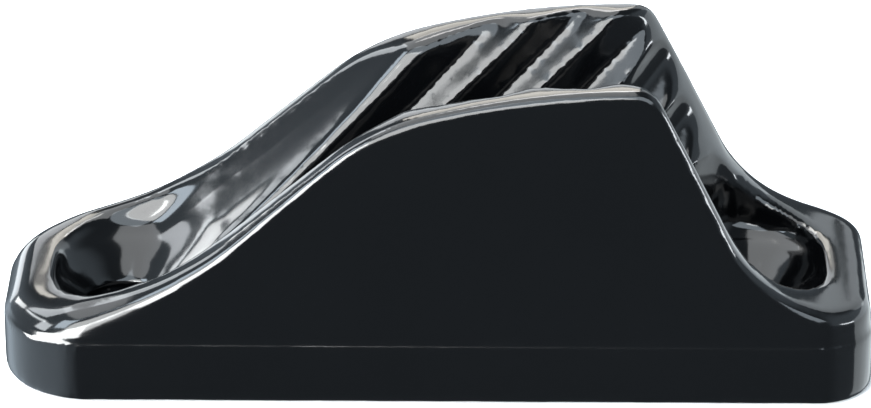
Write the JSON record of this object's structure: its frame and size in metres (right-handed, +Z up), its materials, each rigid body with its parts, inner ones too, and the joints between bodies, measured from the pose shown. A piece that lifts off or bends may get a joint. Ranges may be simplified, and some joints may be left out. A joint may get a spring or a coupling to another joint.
{
  "type": "jam cleat",
  "caption": "Long low jam cleat moulded in one piece: a fluted V groove between two cheeks, a sloping lead chute at one end, and a screw pocket in each end of its flat base.",
  "frame": {"origin": "middle of the flat base, on the mounting surface", "axes": "+X from the long lead chute towards the steep end, +Y across the groove (the cleat mirrors about the XZ plane), +Z up from the mounting surface"},
  "size_m": [0.065, 0.02, 0.0247],
  "materials": {
    "black_plastic": "glossy injection moulding"
  },
  "bodies": {
    "root": {"cleat_body": "black_plastic"}
  },
  "joints": []
}
